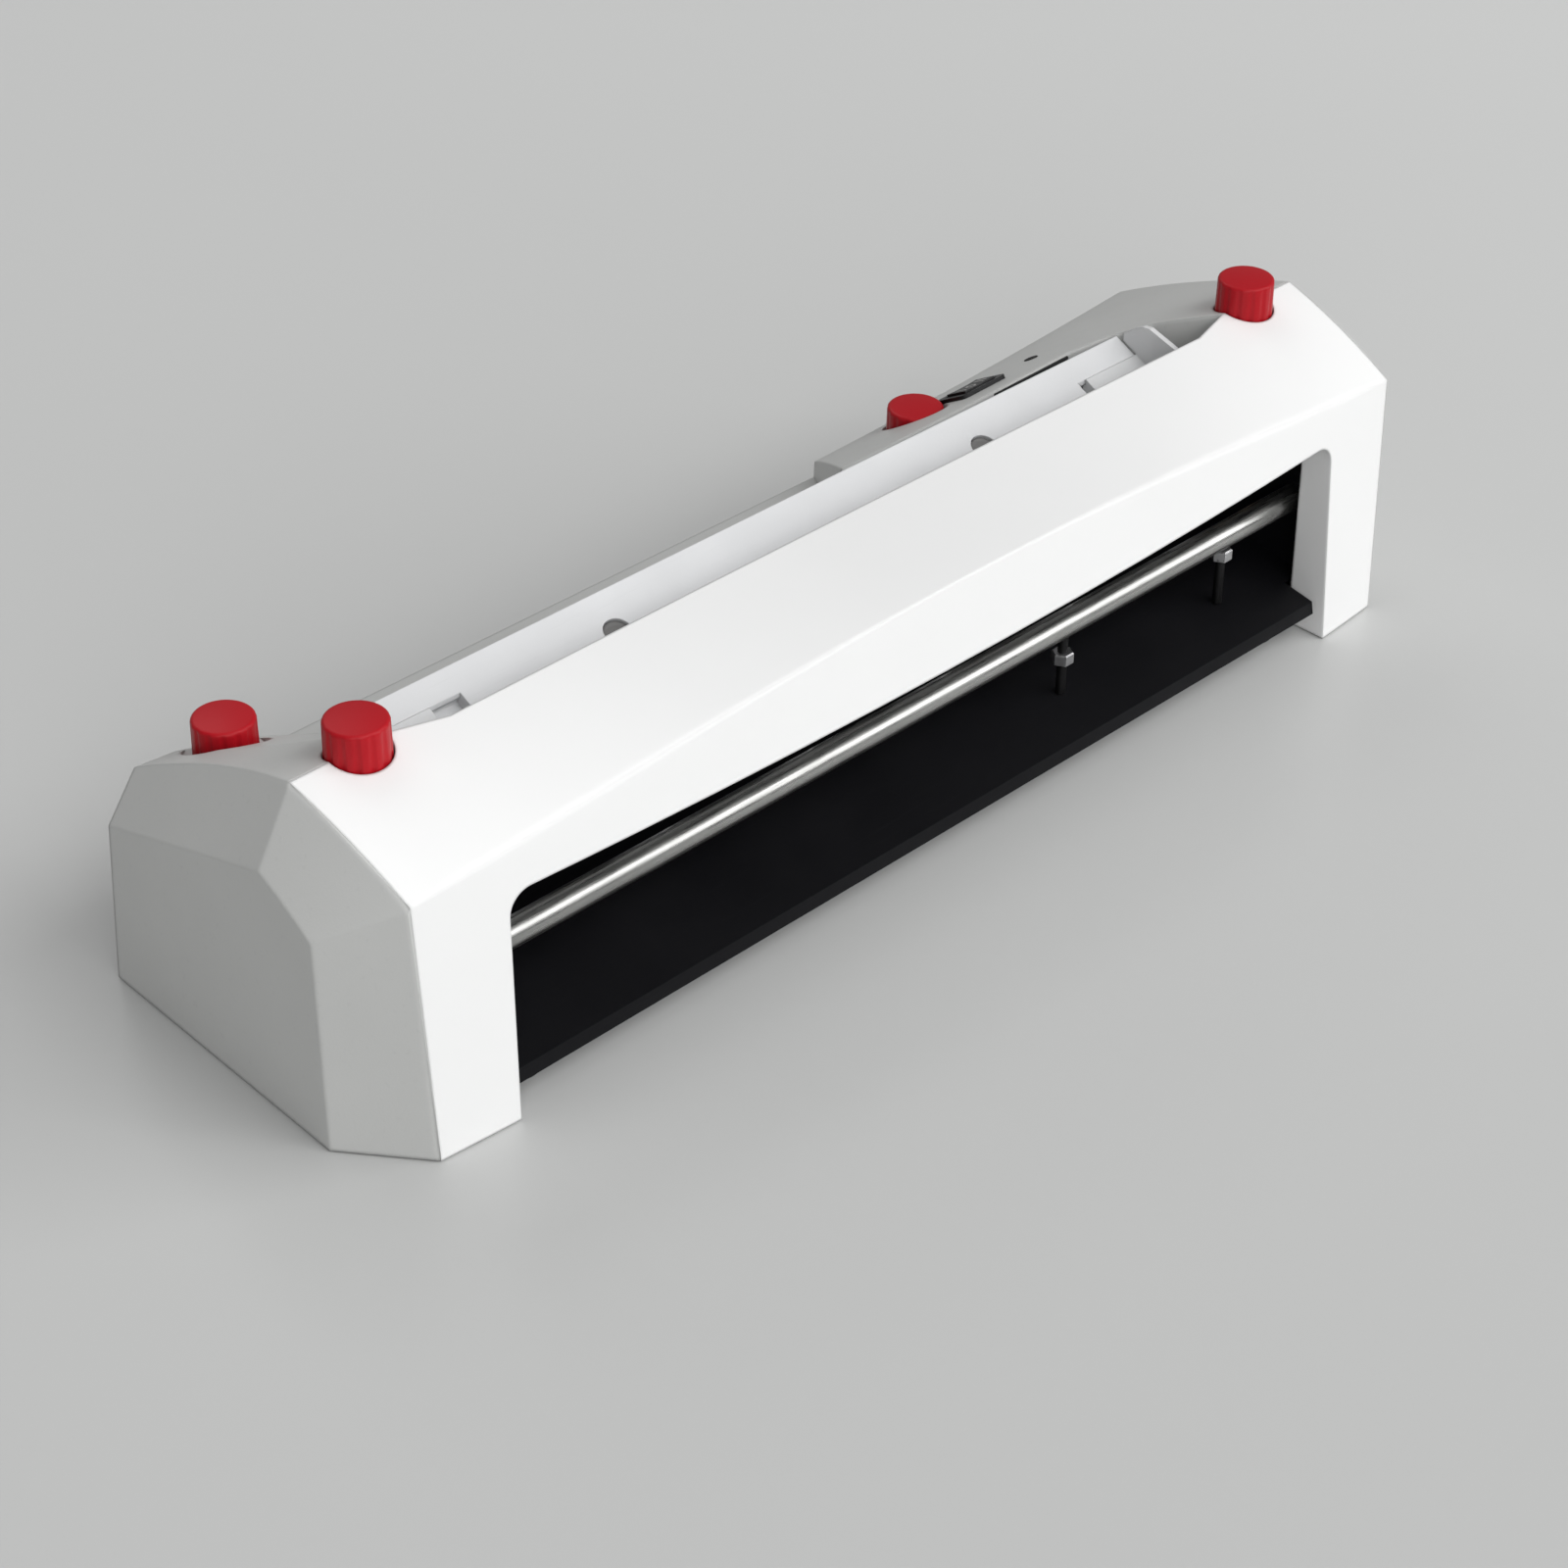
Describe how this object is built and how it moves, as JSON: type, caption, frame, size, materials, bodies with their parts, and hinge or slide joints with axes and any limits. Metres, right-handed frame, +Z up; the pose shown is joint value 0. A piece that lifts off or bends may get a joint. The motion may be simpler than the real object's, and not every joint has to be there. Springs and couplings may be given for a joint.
{
  "type": "business card cutter",
  "caption": "Electric desk-top business card slitter with a white front, light grey casing, feed slot with paper guides, red pressure knobs and a black rocker switch.",
  "frame": {"origin": "middle of the footprint, on the surface the machine stands on", "axes": "+X runs along the machine to the right seen from the front, -Y is the front where the cards come out, +Z is up"},
  "size_m": [0.4118, 0.1219, 0.1041],
  "materials": {
    "cover_white": "white moulded plastic, fine satin texture",
    "cover_grey": "light grey moulded plastic, fine grained",
    "plate_grey": "light grey powder-coated sheet steel",
    "guide_grey": "light grey moulded plastic, satin",
    "knob_red": "red moulded plastic, satin, fluted",
    "switch_black": "black moulded plastic, satin",
    "sheet_black": "black painted sheet steel",
    "frame_steel": "zinc-plated sheet steel, dull",
    "rod_chrome": "polished chrome-plated steel",
    "blade_steel": "ground and polished tool steel",
    "bearing_brass": "sintered bronze, dull",
    "gear_nylon": "off-white nylon, matte",
    "roller_rubber": "dark grey rubber, ground matte",
    "foot_rubber": "black rubber, matte",
    "board_green": "green glass-fibre board, satin"
  },
  "bodies": {
    "root": {"front_cover": "cover_white", "left_end_cover": "cover_grey", "right_end_cover": "cover_grey", "rear_cover": "cover_grey", "base_plate": "sheet_black", "left_side_frame": "sheet_black", "right_side_frame": "sheet_black", "middle_frame": "sheet_black", "rubber_feet": "foot_rubber", "case_screws": "frame_steel", "feed_plate": "plate_grey", "cross_rod": "rod_chrome", "rod_posts": "frame_steel", "exit_chute": "sheet_black", "rear_exit_guide": "sheet_black", "shaft_bearings": "bearing_brass", "drive_motor": "frame_steel", "idler_pins": "frame_steel", "switch_bezel": "switch_black", "power_socket": "switch_black", "control_board": "board_green", "front_left_spring": "frame_steel", "front_right_spring": "frame_steel", "rear_left_spring": "frame_steel", "rear_right_spring": "frame_steel"},
    "left_guide": {"left_paper_guide": "guide_grey"},
    "right_guide": {"right_paper_guide": "guide_grey"},
    "rocker": {"rocker_switch": "switch_black"},
    "motor_drive": {"motor_shaft": "frame_steel"},
    "motor_idler_gear": {"motor_idler": "gear_nylon"},
    "front_lower": {"front_lower_shaft": "frame_steel", "front_lower_gears": "gear_nylon", "front_lower_blades": "blade_steel", "front_lower_rollers": "roller_rubber"},
    "front_upper": {"front_upper_shaft": "frame_steel", "front_upper_gear": "gear_nylon", "front_upper_blades": "blade_steel", "front_upper_rollers": "roller_rubber"},
    "left_front_idler_gear": {"left_idler_front": "gear_nylon"},
    "left_rear_idler_gear": {"left_idler_rear": "gear_nylon"},
    "rear_lower": {"rear_lower_shaft": "frame_steel", "rear_lower_gear": "gear_nylon", "rear_lower_blades": "blade_steel", "rear_lower_rollers": "roller_rubber"},
    "rear_upper": {"rear_upper_shaft": "frame_steel", "rear_upper_gear": "gear_nylon", "rear_upper_blades": "blade_steel", "rear_upper_rollers": "roller_rubber"},
    "front_left_adjuster": {"front_left_knob": "knob_red", "front_left_screw": "frame_steel"},
    "front_left_pressure": {"front_left_nut": "bearing_brass"},
    "front_right_adjuster": {"front_right_knob": "knob_red", "front_right_screw": "frame_steel"},
    "front_right_pressure": {"front_right_nut": "bearing_brass"},
    "rear_left_adjuster": {"rear_left_knob": "knob_red", "rear_left_screw": "frame_steel"},
    "rear_left_pressure": {"rear_left_nut": "bearing_brass"},
    "rear_right_adjuster": {"rear_right_knob": "knob_red", "rear_right_screw": "frame_steel"},
    "rear_right_pressure": {"rear_right_nut": "bearing_brass"}
  },
  "joints": [
    {"name": "front_lower_turn", "type": "hinge", "parent": "root", "child": "front_lower", "pos_m": [0, -0.01109, 0.041], "axis": [1, 0, 0], "continuous": true},
    {"name": "front_upper_turn", "type": "hinge", "parent": "root", "child": "front_upper", "pos_m": [0, -0.01109, 0.061], "axis": [1, 0, 0], "continuous": true},
    {"name": "rear_lower_turn", "type": "hinge", "parent": "root", "child": "rear_lower", "pos_m": [0, 0.04131, 0.021], "axis": [1, 0, 0], "continuous": true},
    {"name": "rear_upper_turn", "type": "hinge", "parent": "root", "child": "rear_upper", "pos_m": [0, 0.04131, 0.041], "axis": [1, 0, 0], "continuous": true},
    {"name": "motor_turn", "type": "hinge", "parent": "root", "child": "motor_drive", "pos_m": [0, 0.03431, 0.03], "axis": [1, 0, 0], "continuous": true},
    {"name": "motor_idler_turn", "type": "hinge", "parent": "root", "child": "motor_idler_gear", "pos_m": [0, 0.01634, 0.02886], "axis": [1, 0, 0], "continuous": true},
    {"name": "left_front_idler_turn", "type": "hinge", "parent": "root", "child": "left_front_idler_gear", "pos_m": [0, 0.00408, 0.02875], "axis": [1, 0, 0], "continuous": true},
    {"name": "left_rear_idler_turn", "type": "hinge", "parent": "root", "child": "left_rear_idler_gear", "pos_m": [0, 0.02183, 0.02198], "axis": [1, 0, 0], "continuous": true},
    {"name": "front_left_knob_turn", "type": "hinge", "parent": "root", "child": "front_left_adjuster", "pos_m": [-0.171, -0.01109, 0.09], "axis": [0, 0, 1], "range_deg": [0, 900]},
    {"name": "front_left_nut_slide", "type": "slide", "parent": "root", "child": "front_left_pressure", "axis": [0, 0, 1], "range_m": [0, 0.002], "deforming": ["front_left_spring"]},
    {"name": "front_right_knob_turn", "type": "hinge", "parent": "root", "child": "front_right_adjuster", "pos_m": [0.171, -0.01109, 0.09], "axis": [0, 0, 1], "range_deg": [0, 900]},
    {"name": "front_right_nut_slide", "type": "slide", "parent": "root", "child": "front_right_pressure", "axis": [0, 0, 1], "range_m": [0, 0.002], "deforming": ["front_right_spring"]},
    {"name": "rear_left_knob_turn", "type": "hinge", "parent": "root", "child": "rear_left_adjuster", "pos_m": [-0.1737, 0.04131, 0.09], "axis": [0, 0, 1], "range_deg": [0, 450]},
    {"name": "rear_left_nut_slide", "type": "slide", "parent": "root", "child": "rear_left_pressure", "axis": [0, 0, 1], "range_m": [0, 0.001], "deforming": ["rear_left_spring"]},
    {"name": "rear_right_knob_turn", "type": "hinge", "parent": "root", "child": "rear_right_adjuster", "pos_m": [0.0835, 0.04131, 0.09], "axis": [0, 0, 1], "range_deg": [0, 450]},
    {"name": "rear_right_nut_slide", "type": "slide", "parent": "root", "child": "rear_right_pressure", "axis": [0, 0, 1], "range_m": [0, 0.001], "deforming": ["rear_right_spring"]},
    {"name": "left_guide_slide", "type": "slide", "parent": "root", "child": "left_guide", "axis": [1, 0, 0], "range_m": [0, 0.01]},
    {"name": "right_guide_slide", "type": "slide", "parent": "root", "child": "right_guide", "axis": [1, 0, 0], "range_m": [-0.003, 0.001]},
    {"name": "rocker_tip", "type": "hinge", "parent": "root", "child": "rocker", "pos_m": [0.10202, 0.03501, 0.07239], "axis": [0.0164, 0.8658, -0.5001], "range_deg": [-12, 12]}
  ],
  "couplings": [
    {"joint": "front_upper_turn", "follows": "front_lower_turn", "ratio": -1},
    {"joint": "motor_idler_turn", "follows": "front_lower_turn", "ratio": -2},
    {"joint": "motor_turn", "follows": "front_lower_turn", "ratio": 2.5},
    {"joint": "left_front_idler_turn", "follows": "front_lower_turn", "ratio": -1.0526},
    {"joint": "left_rear_idler_turn", "follows": "front_lower_turn", "ratio": 1.0526},
    {"joint": "rear_lower_turn", "follows": "front_lower_turn", "ratio": -1},
    {"joint": "rear_upper_turn", "follows": "front_lower_turn", "ratio": 1},
    {"joint": "front_left_knob_turn", "follows": "front_left_nut_slide", "rad_per_m": 7854},
    {"joint": "front_right_knob_turn", "follows": "front_right_nut_slide", "rad_per_m": 7854},
    {"joint": "rear_left_knob_turn", "follows": "rear_left_nut_slide", "rad_per_m": 7854},
    {"joint": "rear_right_knob_turn", "follows": "rear_right_nut_slide", "rad_per_m": 7854}
  ]
}
